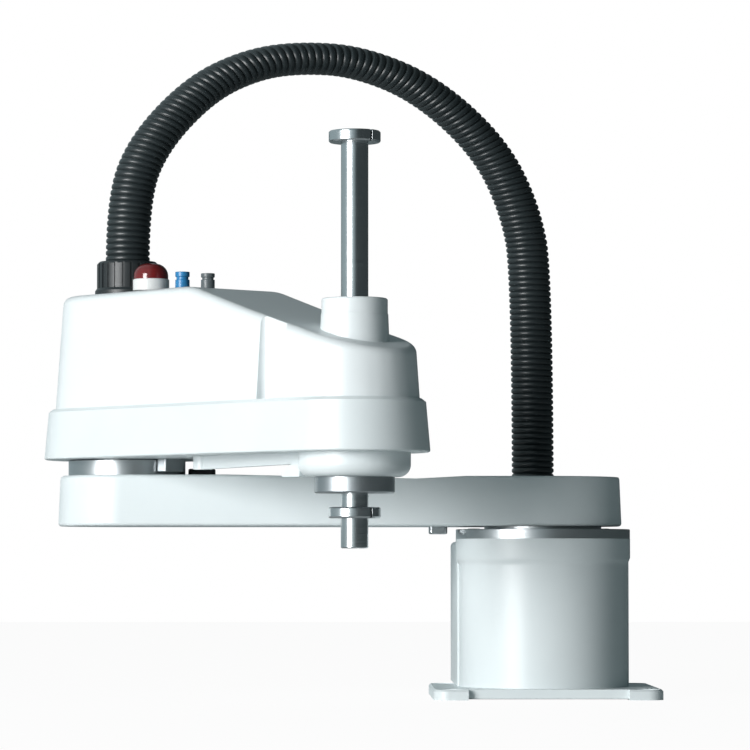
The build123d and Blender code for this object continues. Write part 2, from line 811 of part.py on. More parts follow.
for name, bottom_z, height in (
    ("upper_collar", shaft_top_z - upper_collar_height, upper_collar_height),
    ("lower_collar", lower_collar_z, lower_collar_height),
):
    with BuildPart() as collar:
        with BuildSketch(shaft_plane.offset(bottom_z)):
            Circle(collar_outer_r)
            Circle(shaft_r + fit_gap, mode=Mode.SUBTRACT)
            with Locations((collar_outer_r / 2, 0)):
                Rectangle(collar_outer_r, clamp_slit, mode=Mode.SUBTRACT)
        extrude(amount=height)
        outer_edges = collar.edges().filter_by(GeomType.CIRCLE).sort_by(SortBy.RADIUS)[-2:]
        chamfer(outer_edges, length=collar_edge)
    collar.part.label = name
    export_step(collar.part, f"parts/{name}.step")


# Second arm cover


def cover_form(inset, edge):
    """Makes the cover's solid form, drawn in by the inset on every side, with its top edge rounded."""
    lean = (cover_top_z - inset - band_top_z) * tan(radians(cover_draft))
    with BuildPart() as form:
        with BuildSketch(arm_2_plane.offset(band_top_z)):
            arm_outline(cover_rear_r - inset, cover_front_r - inset, arm_2_length)
        with BuildSketch(arm_2_plane.offset(cover_top_z - inset)):
            arm_outline(cover_rear_r - inset - lean, cover_front_r - inset - lean, arm_2_length)
        loft(ruled=True)
        with BuildSketch(arm_2_side):
            with BuildLine():
                crest = FilletPolyline(
                    (-2 * cover_rear_r, cover_top_z - inset),
                    (slope_start, cover_top_z - inset),
                    (slope_break, slope_break_z - inset),
                    (slope_end, slope_end_z - inset),
                    radius=slope_rounds,
                )
                Polyline(
                    crest @ 1,
                    (slope_end, band_top_z),
                    (-2 * cover_rear_r, band_top_z),
                    crest @ 0,
                )
            make_face()
        extrude(amount=2 * cover_rear_r, both=True, mode=Mode.INTERSECT)
        tops = form.faces().filter_by(lambda face: face.normal_at().Z > 0.8)
        walls = form.faces().filter_by(lambda face: abs(face.normal_at().Z) < 0.3)
        top_edges = tops.edges()
        rim = walls.edges().filter_by(lambda side: side in top_edges)
        fillet(rim, radius=edge)
        with BuildSketch(arm_2_plane.offset(band_top_z)):
            with Locations(((notch_start + notch_end) / 2, 0)):
                with GridLocations(0, 2 * (notch_half - inset + cover_rear_r), 1, 2):
                    RectangleRounded(
                        notch_end - notch_start + 2 * inset,
                        2 * cover_rear_r,
                        notch_round,
                    )
        extrude(amount=cover_top_z - band_top_z, mode=Mode.SUBTRACT)
    return form.part


cover_outside = cover_form(0, cover_edge)
cover_inside = cover_form(cover_wall, cover_inner_edge)

with BuildPart() as arm_2_cover:
    add(cover_outside)
    with BuildSketch(shaft_plane.offset(turret_foot_z)):
        Circle(turret_foot_r)
    with BuildSketch(shaft_plane.offset(turret_shoulder_z)):
        Circle(turret_r)
    loft(ruled=True)
    add(cover_inside, mode=Mode.SUBTRACT)
    with BuildSketch(shaft_plane.offset(turret_foot_z)):
        Circle(turret_r - turret_wall)
    extrude(amount=turret_shoulder_z - turret_foot_z, mode=Mode.SUBTRACT)
    with BuildSketch(arm_2_plane.offset(cover_top_z)):
        Circle(gland_bore_r)
    extrude(amount=-2 * cover_wall, mode=Mode.SUBTRACT)
arm_2_cover.part.label = "arm_2_cover"
export_step(arm_2_cover.part, "parts/arm_2_cover.step")

with BuildPart() as quill_cap:
    with BuildSketch(shaft_plane.offset(turret_shoulder_z)):
        Circle(quill_cap_r)
        Circle(shaft_r + running_gap, mode=Mode.SUBTRACT)
    extrude(amount=quill_cap_height)
    chamfer(quill_cap.faces().sort_by(Axis.Z)[-1].outer_wire().edges(), length=quill_cap_edge)
quill_cap.part.label = "quill_cap"
export_step(quill_cap.part, "parts/quill_cap.step")


# Fittings


base_gland_plane = Plane(origin=(0, base_gland_y, rear_box_top_z), z_dir=(0, 0, 1))
arm_gland_plane = arm_2_plane.offset(cover_top_z)
for name, seat in (("base_gland", base_gland_plane), ("arm_gland", arm_gland_plane)):
    with BuildPart() as gland:
        with BuildSketch(Plane(origin=seat.origin, x_dir=(1, 0, 0), z_dir=(0, -1, 0))):
            with BuildLine():
                Polyline(
                    (gland_bore_r, 0),
                    (gland_flange_r, 0),
                    (gland_flange_r, gland_flange_height),
                    (gland_r, gland_flange_height + gland_edge),
                    (gland_r, gland_height - gland_edge),
                    (gland_r - gland_edge, gland_height),
                    (gland_bore_r, gland_height),
                    close=True,
                )
            make_face()
        revolve(axis=Axis(seat.origin, (0, 0, 1)))
        with BuildSketch(seat.offset(gland_flange_height + gland_edge)):
            with PolarLocations(gland_r, gland_ribs):
                Rectangle(2 * gland_rib_depth, gland_rib_width)
        extrude(amount=gland_height, mode=Mode.SUBTRACT)
    gland.part.label = name
    export_step(gland.part, f"parts/{name}.step")

with BuildPart() as lamp_gasket:
    with BuildSketch(arm_2_plane.offset(cover_top_z)):
        with Locations((lamp_u, lamp_v)):
            Circle(lamp_r + 1)
    extrude(amount=lamp_gasket_height)
lamp_gasket.part.label = "lamp_gasket"
export_step(lamp_gasket.part, "parts/lamp_gasket.step")

lamp_base_z = cover_top_z + lamp_gasket_height
with BuildPart() as lamp_base:
    with BuildSketch(arm_2_plane.offset(lamp_base_z)):
        with Locations((lamp_u, lamp_v)):
            Circle(lamp_r)
    extrude(amount=lamp_base_height)
    chamfer(lamp_base.faces().sort_by(Axis.Z)[-1].edges(), length=0.6)
lamp_base.part.label = "lamp_base"
export_step(lamp_base.part, "parts/lamp_base.step")

lamp_dome_z = lamp_base_z + lamp_base_height
with BuildPart() as lamp_dome:
    with BuildSketch(arm_2_plane.offset(lamp_dome_z)):
        with Locations((lamp_u, lamp_v)):
            Circle(lamp_dome_r)
    extrude(amount=lamp_dome_height)
    fillet(lamp_dome.faces().sort_by(Axis.Z)[-1].edges(), radius=lamp_dome_round)
lamp_dome.part.label = "lamp_dome"
export_step(lamp_dome.part, "parts/lamp_dome.step")

for name, spot, radius, height in (
    ("blue_air_port", (blue_fitting_u, fitting_v), blue_fitting_r, blue_fitting_height),
    ("grey_air_port", (grey_fitting_u, fitting_v), grey_fitting_r, grey_fitting_height),
):
    with BuildPart() as air_port:
        with BuildSketch(arm_2_plane.offset(cover_top_z)):
            with Locations(spot):
                Circle(radius)
        extrude(amount=height * fitting_body_share)
        with BuildSketch(arm_2_plane.offset(cover_top_z)):
            with Locations(spot):
                Circle(radius - fitting_neck)
        extrude(amount=height)
        with BuildSketch(arm_2_plane.offset(cover_top_z + height)):
            with Locations(spot):
                Circle(radius)
        extrude(amount=-height * fitting_ring_share)
        with BuildSketch(arm_2_plane.offset(cover_top_z + height)):
            with Locations(spot):
                Circle(tube_r)
        extrude(amount=-tube_depth, mode=Mode.SUBTRACT)
    air_port.part.label = name
    export_step(air_port.part, f"parts/{name}.step")


# Conduit


conduit_span = (arm_1_length**2 + base_gland_y**2) ** 0.5
arm_gland_top_z = cover_top_z + gland_height
base_gland_top_z = rear_box_top_z + gland_height
# Each point is a distance from the second joint towards the base gland, and a height.
conduit_route = (
    (0, arm_gland_top_z),
    (0, 390),
    (17.5, 434),
    (61, 479),
    (105, 501),
    (147, 509.2),
    (199, 509.2),
    (260, 490),
    (317.5, 446),
    (346, 397),
    (conduit_span, 341),
    (conduit_span, base_gland_top_z),
)
crown_run = 6  # the conduit's two halves meet in the middle of the run that ends at this point
arc_share = 0.45  # of the shorter run beside a corner, taken by the corner's arc


def bend_radius(before, corner, after):
    """Gives the radius of the arc that rounds a corner of the conduit's route."""
    run_in = corner - before
    run_out = after - corner
    half_turn = radians(run_in.get_angle(run_out)) / 2
    return arc_share * min(run_in.length, run_out.length) / tan(half_turn)


corners = [
    Vector(elbow_x + far * arm_1_length / conduit_span, far * base_gland_y / conduit_span, z)
    for far, z in conduit_route
]
bends = [bend_radius(*corners[at - 1 : at + 2]) for at in range(1, len(corners) - 1)]
crown = (corners[crown_run - 1] + corners[crown_run]) / 2
print("conduit bend radii", [round(radius) for radius in bends])

for name, points, radii in (
    ("conduit_front", corners[:crown_run] + [crown], bends[: crown_run - 1]),
    ("conduit_rear", [crown] + corners[crown_run:], bends[crown_run - 1 :]),
):
    with BuildPart() as conduit:
        with BuildLine() as line:
            FilletPolyline(*points, radius=radii)
        with BuildSketch(Plane(origin=points[0], z_dir=points[1] - points[0])):
            Circle(conduit_r)
        sweep()
    conduit.part.label = name
    export_step(conduit.part, f"parts/{name}.step")
    print(name, "length", round(line.wires()[0].length, 1))
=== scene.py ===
# %% [markdown]
# # A bench robot with two swinging arms
# The real object is a four-axis assembly robot. A cast base carries two arms that swing level,
# and a hollow screw shaft at the end lifts and turns. A ridged conduit arches over it all and
# takes the cables from the base to the second arm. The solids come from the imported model, and
# this script dresses them.

from math import hypot, pi, radians

import bmesh
import bpy
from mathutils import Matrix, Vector


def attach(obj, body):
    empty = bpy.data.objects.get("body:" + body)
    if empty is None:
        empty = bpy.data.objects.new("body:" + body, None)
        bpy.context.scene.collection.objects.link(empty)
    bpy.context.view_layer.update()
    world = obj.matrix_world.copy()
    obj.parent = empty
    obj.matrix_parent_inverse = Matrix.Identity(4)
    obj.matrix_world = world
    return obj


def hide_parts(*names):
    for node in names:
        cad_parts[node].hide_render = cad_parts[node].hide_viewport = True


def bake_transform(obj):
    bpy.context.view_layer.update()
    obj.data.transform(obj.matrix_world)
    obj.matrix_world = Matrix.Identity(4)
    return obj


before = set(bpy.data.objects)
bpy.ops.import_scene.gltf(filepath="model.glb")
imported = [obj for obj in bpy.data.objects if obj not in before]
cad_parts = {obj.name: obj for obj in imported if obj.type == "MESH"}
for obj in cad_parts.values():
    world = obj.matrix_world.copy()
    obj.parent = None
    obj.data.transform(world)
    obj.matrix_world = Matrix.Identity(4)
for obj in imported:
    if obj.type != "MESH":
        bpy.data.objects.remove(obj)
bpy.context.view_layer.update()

# %% [markdown]
# ## The camera
# The photograph was taken with a long lens, level with the foot of the robot and tilted a little
# upwards. A long lens keeps the sizes of near and far pieces close to each other, so the camera
# stands three metres away and has a narrow view.

# %% Camera
camera_data = bpy.data.cameras.new("camera")
camera_data.sensor_width = 36
camera_data.lens = 184.1
camera = bpy.data.objects.new("camera", camera_data)
camera.location = (-0.1623, -3.0, 0.1017)
camera.rotation_euler = (radians(92.851), 0, radians(-0.594))
bpy.context.scene.collection.objects.link(camera)
bpy.context.scene.camera = camera
bpy.context.scene.view_settings.view_transform = "Standard"

# %% [markdown]
# ## Where things are
# Sizes are written in millimetres, as on a drawing, and become metres when a mesh is made. The
# first joint stands at the origin, the second joint lies one arm's length to its left, and the
# conduit comes down behind the base.

# %% Sizes shared by many pieces
MM = 0.001
ARM_1 = 325
BASE_GLAND_Y = 150
print("second joint at", (-ARM_1, 0), "base gland at", (0, BASE_GLAND_Y))

# %% [markdown]
# ## Finishes: the tools
# Every finish is a small node tree. One function turns a colour written as on the web into the
# linear values that Blender calculates with, and one adds a node with its settings and links.

# %% Helpers for finishes


def linear(text):
    """Turns an sRGB colour such as '8090A0' into linear red, green, blue and alpha."""
    values = [int(text[at : at + 2], 16) / 255 for at in (0, 2, 4)]
    return [v / 12.92 if v <= 0.04045 else ((v + 0.055) / 1.055) ** 2.4 for v in values] + [1]


def add_node(tree, kind, inputs=(), **settings):
    """Adds a node, sets its settings, and links or sets each named input."""
    node = tree.nodes.new(kind)
    for name, value in settings.items():
        setattr(node, name, value)
    for name, value in dict(inputs).items():
        if isinstance(value, bpy.types.NodeSocket):
            tree.links.new(value, node.inputs[name])
        else:
            node.inputs[name].default_value = value
    return node


def start_finish(name):
    """Makes an empty material, and gives its tree and the place of each point on a piece."""
    finish = bpy.data.materials.new(name)
    finish.use_nodes = True
    finish.node_tree.nodes.clear()
    place = add_node(finish.node_tree, "ShaderNodeTexCoord").outputs["Object"]
    return finish, finish.node_tree, place


def end_finish(tree, surface):
    """Sends a surface to the material's output."""
    add_node(tree, "ShaderNodeOutputMaterial", {"Surface": surface})


# %% [markdown]
# ## Powder coat on cast aluminium
# The base and both arms are aluminium castings with a white powder coat. Powder melts into a
# skin with a faint orange peel, a few tenths of a millimetre across. That is too fine to show
# from three metres, so it is drawn 1.6 mm across. Slow changes of gloss, some 60 mm across, keep
# large walls from looking like flat paper.

# %% Powder coat
powder_coat, tree, place = start_finish("white_powder_coat")
slow = add_node(tree, "ShaderNodeTexNoise", {"Vector": place, "Scale": 16, "Detail": 3})
peel = add_node(tree, "ShaderNodeTexNoise", {"Vector": place, "Scale": 620, "Detail": 2})
tone = add_node(tree, "ShaderNodeValToRGB", {"Fac": slow.outputs["Fac"]})
tone.color_ramp.elements[0].color = linear("DDE5E7")
tone.color_ramp.elements[1].color = linear("E6EDEE")
gloss = add_node(
    tree, "ShaderNodeMapRange", {"Value": slow.outputs["Fac"], "To Min": 0.3, "To Max": 0.4}
)
skin = add_node(
    tree,
    "ShaderNodeBump",
    {"Height": peel.outputs["Fac"], "Strength": 0.12, "Distance": 0.00012},
)
coat = add_node(
    tree,
    "ShaderNodeBsdfPrincipled",
    {
        "Base Color": tone.outputs["Color"],
        "Roughness": gloss.outputs["Result"],
        "Normal": skin.outputs["Normal"],
        "IOR": 1.5,
    },
)
end_finish(tree, coat.outputs["BSDF"])

# %% [markdown]
# ## Moulded cover plastic
# The cover over the second arm is moulded ABS, a little glossier than the castings, with the
# very fine spark texture that a mould leaves. The texture is drawn 1.2 mm across for the same
# reason as above.

# %% Moulded ABS
cover_abs, tree, place = start_finish("moulded_white_abs")
slow = add_node(tree, "ShaderNodeTexNoise", {"Vector": place, "Scale": 11, "Detail": 2})
spark = add_node(tree, "ShaderNodeTexNoise", {"Vector": place, "Scale": 830, "Detail": 1})
tone = add_node(tree, "ShaderNodeValToRGB", {"Fac": slow.outputs["Fac"]})
tone.color_ramp.elements[0].color = linear("E4EAEC")
tone.color_ramp.elements[1].color = linear("EAF0F1")
gloss = add_node(
    tree, "ShaderNodeMapRange", {"Value": spark.outputs["Fac"], "To Min": 0.3, "To Max": 0.38}
)
grain = add_node(
    tree,
    "ShaderNodeBump",
    {"Height": spark.outputs["Fac"], "Strength": 0.08, "Distance": 0.00008},
)
abs_surface = add_node(
    tree,
    "ShaderNodeBsdfPrincipled",
    {
        "Base Color": tone.outputs["Color"],
        "Roughness": gloss.outputs["Result"],
        "Normal": grain.outputs["Normal"],
        "IOR": 1.53,
    },
)
end_finish(tree, abs_surface.outputs["BSDF"])

# %% [markdown]
# ## Steel and bare aluminium
# Rings, collars and the shaft are bare metal. Turning and grinding leave fine lines that run
# round each piece, and noise stretched along the other two directions draws them: it changes
# fast with height and slowly sideways. The lines are drawn about 1 mm apart.

# %% Metals


def machined_metal(name, colour, roughness, line_depth):
    """Makes a bare metal with fine lines that run round an upright piece."""
    finish, tree, place = start_finish(name)
    stretch = add_node(tree, "ShaderNodeMapping", {"Vector": place, "Scale": (12, 12, 900)})
    lines = add_node(
        tree, "ShaderNodeTexNoise", {"Vector": stretch.outputs["Vector"], "Scale": 1, "Detail": 3}
    )
    smudge = add_node(tree, "ShaderNodeTexNoise", {"Vector": place, "Scale": 45, "Detail": 3})
    both = add_node(
        tree,
        "ShaderNodeMath",
        {0: lines.outputs["Fac"], 1: smudge.outputs["Fac"]},
        operation="MULTIPLY",
    )
    rough = add_node(
        tree,
        "ShaderNodeMapRange",
        {"Value": both.outputs[0], "To Min": roughness * 0.75, "To Max": roughness * 1.5},
    )
    cut = add_node(
        tree,
        "ShaderNodeBump",
        {"Height": lines.outputs["Fac"], "Strength": line_depth, "Distance": 0.00004},
    )
    metal = add_node(
        tree,
        "ShaderNodeBsdfPrincipled",
        {
            "Base Color": linear(colour),
            "Metallic": 1.0,
            "Roughness": rough.outputs["Result"],
            "Normal": cut.outputs["Normal"],
        },
    )
    end_finish(tree, metal.outputs["BSDF"])
    return finish


turned_steel = machined_metal("turned_steel", "B9BDBF", 0.34, 0.5)
ground_steel = machined_metal("ground_bearing_steel", "C3C7C9", 0.24, 0.25)
bare_aluminium = machined_metal("milled_aluminium", "AEB3B6", 0.4, 0.5)
zinc_plate = machined_metal("zinc_plated_steel", "A9ACA8", 0.38, 0.2)

# %% [markdown]
# ## Rubber and hard plastics
# The other pieces are plain moulded plastic or rubber. They differ in colour, in gloss and in how
# coarse their grain is, so one function makes them all. Their tone changes a little at random, in
# patches some 17 mm across.

# %% Plastics and rubber


def moulded(name, colour, roughness, grain_mm, depth_mm):
    """Makes a moulded plastic or rubber with a grain of the given size."""
    finish, tree, place = start_finish(name)
    grain = add_node(
        tree,
        "ShaderNodeTexNoise",
        {"Vector": place, "Scale": 1000 / grain_mm, "Detail": 3},
    )
    patches = add_node(tree, "ShaderNodeTexNoise", {"Vector": place, "Scale": 60, "Detail": 2})
    tone = add_node(tree, "ShaderNodeValToRGB", {"Fac": patches.outputs["Fac"]})
    full = linear(colour)
    tone.color_ramp.elements[0].color = [value * 0.86 for value in full[:3]] + [1]
    tone.color_ramp.elements[1].color = [min(1, value * 1.1) for value in full[:3]] + [1]
    rough = add_node(
        tree,
        "ShaderNodeMapRange",
        {"Value": grain.outputs["Fac"], "To Min": roughness * 0.85, "To Max": roughness * 1.15},
    )
    bumps = add_node(
        tree,
        "ShaderNodeBump",
        {"Height": grain.outputs["Fac"], "Strength": 0.4, "Distance": depth_mm * MM},
    )
    surface = add_node(
        tree,
        "ShaderNodeBsdfPrincipled",
        {
            "Base Color": tone.outputs["Color"],
            "Roughness": rough.outputs["Result"],
            "Normal": bumps.outputs["Normal"],
            "IOR": 1.5,
        },
    )
    end_finish(tree, surface.outputs["BSDF"])
    return finish


conduit_pvc = moulded("grey_pvc_conduit", "262D2F", 0.36, 2.0, 0.03)
gland_nylon = moulded("black_nylon", "23282A", 0.42, 1.2, 0.02)
black_rubber = moulded("black_rubber", "1A1C1D", 0.62, 1.0, 0.04)
motor_enamel = moulded("black_motor_enamel", "202224", 0.3, 1.5, 0.02)
lamp_shell = moulded("white_polycarbonate", "E3E5E4", 0.28, 1.0, 0.01)
blue_acetal = moulded("blue_acetal", "2F7FB4", 0.34, 1.0, 0.01)
grey_acetal = moulded("grey_acetal", "5C6467", 0.38, 1.0, 0.01)

# %% [markdown]
# ## Tinted lamp dome
# The lamp's dome is clear polycarbonate dyed deep red. Light enters it and comes back redder, and
# a little transmission with a strong body colour gives that without a slow, fully clear shader.

# %% Red lens
red_lens, tree, place = start_finish("red_polycarbonate")
swirl = add_node(tree, "ShaderNodeTexNoise", {"Vector": place, "Scale": 90, "Detail": 2})
tone = add_node(tree, "ShaderNodeValToRGB", {"Fac": swirl.outputs["Fac"]})
tone.color_ramp.elements[0].color = linear("6E1A1C")
tone.color_ramp.elements[1].color = linear("8A2A2A")
lens = add_node(
    tree,
    "ShaderNodeBsdfPrincipled",
    {
        "Base Color": tone.outputs["Color"],
        "Roughness": 0.12,
        "IOR": 1.58,
        "Transmission Weight": 0.25,
    },
)
end_finish(tree, lens.outputs["BSDF"])

# %% [markdown]
# ## Making pieces
# Two kinds of work come back all the time: making a mesh object from points and faces, and
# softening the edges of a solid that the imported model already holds. Real castings, mouldings
# and turned pieces have no knife edges, and a narrow bevel catches the light along each one.

# %% Helpers for meshes


def finish_mesh(thing, material, crease=32):
    """Gives a piece its material and smooth shading, with creases where its faces turn sharply."""
    thing.data.materials.clear()
    thing.data.materials.append(material)
    for face in thing.data.polygons:
        face.use_smooth = True
        face.material_index = 0
    thing.data.set_sharp_from_angle(angle=radians(crease))


def make_piece(name, points, faces, material, crease=32):
    """Makes an object from points in millimetres, with doubles merged and faces turned outwards."""
    mesh = bpy.data.meshes.new(name)
    mesh.from_pydata([Vector(point) * MM for point in points], [], faces)
    shape = bmesh.new()
    shape.from_mesh(mesh)
    bmesh.ops.remove_doubles(shape, verts=shape.verts, dist=0.000002)
    bmesh.ops.dissolve_degenerate(shape, edges=shape.edges, dist=0.000001)
    bmesh.ops.recalc_face_normals(shape, faces=shape.faces)
    shape.to_mesh(mesh)
    shape.free()
    thing = bpy.data.objects.new(name, mesh)
    bpy.context.scene.collection.objects.link(thing)
    finish_mesh(thing, material, crease)
    return thing


def soften(thing, width, steps=2):
    """Adds a narrow bevel along sharp edges, and evens the shading of the flats beside it."""
    bevel = thing.modifiers.new("edge", "BEVEL")
    bevel.width = width * MM
    bevel.segments = steps
    bevel.limit_method = "ANGLE"
    bevel.angle_limit = radians(35)
    bevel.harden_normals = False
    even = thing.modifiers.new("even", "WEIGHTED_NORMAL")
    even.keep_sharp = True


def dress(node, material, body, width=0.0, name=None):
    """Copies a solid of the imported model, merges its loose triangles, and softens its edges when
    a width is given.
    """
    piece_name = name or f"{node}_dressed"
    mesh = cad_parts[node].data.copy()
    mesh.name = piece_name
    shape = bmesh.new()
    shape.from_mesh(mesh)
    bmesh.ops.remove_doubles(shape, verts=shape.verts, dist=0.000005)
    bmesh.ops.dissolve_limit(
        shape, angle_limit=radians(0.4), verts=shape.verts, edges=shape.edges
    )
    shape.to_mesh(mesh)
    shape.free()
    if "custom_normal" in mesh.attributes:
        mesh.attributes.remove(mesh.attributes["custom_normal"])
    thing = bpy.data.objects.new(piece_name, mesh)
    bpy.context.scene.collection.objects.link(thing)
    finish_mesh(thing, material)
    if width:
        soften(thing, width)
    else:
        thing.modifiers.new("even", "WEIGHTED_NORMAL").keep_sharp = True
    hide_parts(node)
    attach(thing, body)
    return thing


# %% [markdown]
# ## The conduit
# The conduit leaves the gland on the second arm, rises, arches over and comes down behind the
# base. Its route is one smooth curve. The photograph is squashed upright to three quarters, so
# the ridges, which stand a steady 6.2 mm apart on the real thing, come closer where it rises.
# The tube is therefore made in a stretched space and pressed back to three quarters at the end:
# the ridges, the thickness and the curve then all follow the picture by themselves.

# %% Route of the conduit
SPAN = hypot(ARM_1, BASE_GLAND_Y)
ROUTE = [
    (0, 339.5),
    (0, 390),
    (17.5, 434),
    (61, 479),
    (105, 501),
    (147, 509.2),
    (199, 509.2),
    (260, 490),
    (317.5, 446),
    (346, 397),
    (SPAN, 341),
    (SPAN, 149.6),
]
route_points = [
    Vector((-ARM_1 + far * ARM_1 / SPAN, far * BASE_GLAND_Y / SPAN, z)) * MM for far, z in ROUTE
]
crown = (route_points[5] + route_points[6]) / 2


def smooth_path(name, controls):
    """Draws a NURBS curve through the air and returns the points along it."""
    curve = bpy.data.curves.new(name, "CURVE")
    curve.dimensions = "3D"
    curve.resolution_u = 24
    spline = curve.splines.new("NURBS")
    spline.points.add(len(controls) - 1)
    for point, place in zip(spline.points, controls):
        point.co = (*place, 1)
    spline.order_u = 3
    spline.use_endpoint_u = True
    carrier = bpy.data.objects.new(name, curve)
    bpy.context.scene.collection.objects.link(carrier)
    bpy.context.view_layer.update()
    mesh = bpy.data.meshes.new_from_object(
        carrier.evaluated_get(bpy.context.evaluated_depsgraph_get())
    )
    bpy.data.objects.remove(carrier)
    bpy.data.curves.remove(curve)
    mesh.name = name
    return mesh


front_path = smooth_path("conduit_front_path", route_points[:6] + [crown])
rear_path = smooth_path("conduit_rear_path", [crown] + route_points[6:])
for path in (front_path, rear_path):
    places = [vertex.co.copy() for vertex in path.vertices]
    length = sum((b - a).length for a, b in zip(places, places[1:]))
    print(path.name, "points", len(places), "length", round(length * 1000, 1), "mm")

# %% [markdown]
# ## Ridges with Geometry Nodes
# A ridged tube follows a path and repeats, which is what Geometry Nodes are for. The path is cut
# into steps, each ridge takes six of them, and the radius of each step comes from its place in
# its ridge. A curve's radius scales the profile that is swept along it.

# %% Node tree of the ridged hose
SQUASH = 0.75


def input_key(tree, name):
    """Gives the identifier under which a modifier keeps a node tree's named input."""
    return next(item.identifier for item in tree.interface.items_tree if item.name == name)


def new_tree(name, *inputs):
    """Starts a geometry node tree with a mesh going in and out, and named inputs for its sizes."""
    tree = bpy.data.node_groups.new(name, "GeometryNodeTree")
    tree.interface.new_socket("Geometry", in_out="INPUT", socket_type="NodeSocketGeometry")
    for label, kind, default in inputs:
        socket = tree.interface.new_socket(label, in_out="INPUT", socket_type=kind)
        if default is not None:
            socket.default_value = default
    tree.interface.new_socket("Geometry", in_out="OUTPUT", socket_type="NodeSocketGeometry")
    return tree, add_node(tree, "NodeGroupInput").outputs


hose_tree, given = new_tree(
    "ridged_hose",
    ("Radius", "NodeSocketFloat", 0.01725),
    ("Ridges", "NodeSocketInt", 60),
    ("Groove", "NodeSocketFloat", 0.08),
    ("Stretch", "NodeSocketFloat", 1 / SQUASH),
    ("Material", "NodeSocketMaterial", None),
)
to_line = add_node(hose_tree, "GeometryNodeMeshToCurve", {"Mesh": given["Geometry"]})
tall = add_node(hose_tree, "ShaderNodeCombineXYZ", {"X": 1, "Y": 1, "Z": given["Stretch"]})
stretched = add_node(
    hose_tree,
    "GeometryNodeTransform",
    {"Geometry": to_line.outputs["Curve"], "Scale": tall.outputs["Vector"]},
)
STEPS = 6
steps = add_node(
    hose_tree, "ShaderNodeMath", {0: given["Ridges"], 1: STEPS}, operation="MULTIPLY"
)
count = add_node(hose_tree, "ShaderNodeMath", {0: steps.outputs[0], 1: 1}, operation="ADD")
even = add_node(
    hose_tree,
    "GeometryNodeResampleCurve",
    {"Curve": stretched.outputs["Geometry"], "Count": count.outputs[0]},
)
index = add_node(hose_tree, "GeometryNodeInputIndex")
turn = add_node(
    hose_tree, "ShaderNodeMath", {0: index.outputs[0], 1: 2 * pi / STEPS}, operation="MULTIPLY"
)
wave = add_node(hose_tree, "ShaderNodeMath", {0: turn.outputs[0]}, operation="COSINE")
low = add_node(
    hose_tree,
    "ShaderNodeMapRange",
    {
        "Value": wave.outputs[0],
        "From Min": 0.3,
        "From Max": 1,
        "To Min": 0,
        "To Max": given["Groove"],
    },
)
share = add_node(
    hose_tree, "ShaderNodeMath", {0: 1, 1: low.outputs["Result"]}, operation="SUBTRACT"
)
ridge_radius = add_node(
    hose_tree,
    "ShaderNodeMath",
    {0: share.outputs[0], 1: given["Radius"]},
    operation="MULTIPLY",
)
sized = add_node(
    hose_tree,
    "GeometryNodeSetCurveRadius",
    {"Curve": even.outputs["Curve"], "Radius": 1.0},
)
profile = add_node(
    hose_tree, "GeometryNodeCurvePrimitiveCircle", {"Resolution": 48, "Radius": 1.0}
)
tube = add_node(
    hose_tree,
    "GeometryNodeCurveToMesh",
    {
        "Curve": sized.outputs["Curve"],
        "Profile Curve": profile.outputs["Curve"],
        "Scale": ridge_radius.outputs[0],
        "Fill Caps": True,
    },
)
flat = add_node(hose_tree, "ShaderNodeMath", {0: 1, 1: given["Stretch"]}, operation="DIVIDE")
short = add_node(hose_tree, "ShaderNodeCombineXYZ", {"X": 1, "Y": 1, "Z": flat.outputs[0]})
pressed = add_node(
    hose_tree,
    "GeometryNodeTransform",
    {"Geometry": tube.outputs["Mesh"], "Scale": short.outputs["Vector"]},
)
smooth = add_node(
    hose_tree, "GeometryNodeSetShadeSmooth", {"Geometry": pressed.outputs["Geometry"]}
)
real = add_node(hose_tree, "GeometryNodeRealizeInstances", {"Geometry": smooth.outputs["Geometry"]})
coloured = add_node(
    hose_tree,
    "GeometryNodeSetMaterial",
    {"Geometry": real.outputs["Geometry"], "Material": given["Material"]},
)
add_node(hose_tree, "NodeGroupOutput", {"Geometry": coloured.outputs["Geometry"]})

# %% Hoses from the tree


def grow(name, seed_mesh, tree, settings):
    """Runs a node tree on a mesh and returns the result as a plain object."""
    carrier = bpy.data.objects.new(name, seed_mesh)
    bpy.context.scene.collection.objects.link(carrier)
    modifier = carrier.modifiers.new("grow", "NODES")
    modifier.node_group = tree
    for label, value in settings.items():
        modifier[input_key(tree, label)] = value
    bpy.context.view_layer.update()
    result = bpy.data.meshes.new_from_object(
        carrier.evaluated_get(bpy.context.evaluated_depsgraph_get())
    )
    carrier.modifiers.remove(modifier)
    carrier.data = result
    result.name = name
    print(name, "faces", len(result.polygons))
    return carrier


RIDGE_PITCH = 6.2 * MM
HOSE_RADIUS = 0.01725
GROOVE_DEPTH = 0.085  # share of the radius


def add_hose(name, path, node):
    """Makes one half of the conduit, and gives the points of its path and its length."""
    places = [vertex.co.copy() for vertex in path.vertices]
    tall_places = [Vector((p.x, p.y, p.z / SQUASH)) for p in places]
    tall_length = sum((b - a).length for a, b in zip(tall_places, tall_places[1:]))
    length = sum((b - a).length for a, b in zip(places, places[1:]))
    hose = grow(
        name,
        path,
        hose_tree,
        {
            "Radius": HOSE_RADIUS,
            "Ridges": round(tall_length / RIDGE_PITCH),
            "Groove": GROOVE_DEPTH,
            "Stretch": 1 / SQUASH,
            "Material": conduit_pvc,
        },
    )
    hose.data.set_sharp_from_angle(angle=radians(60))
    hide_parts(node)
    return hose, places, length


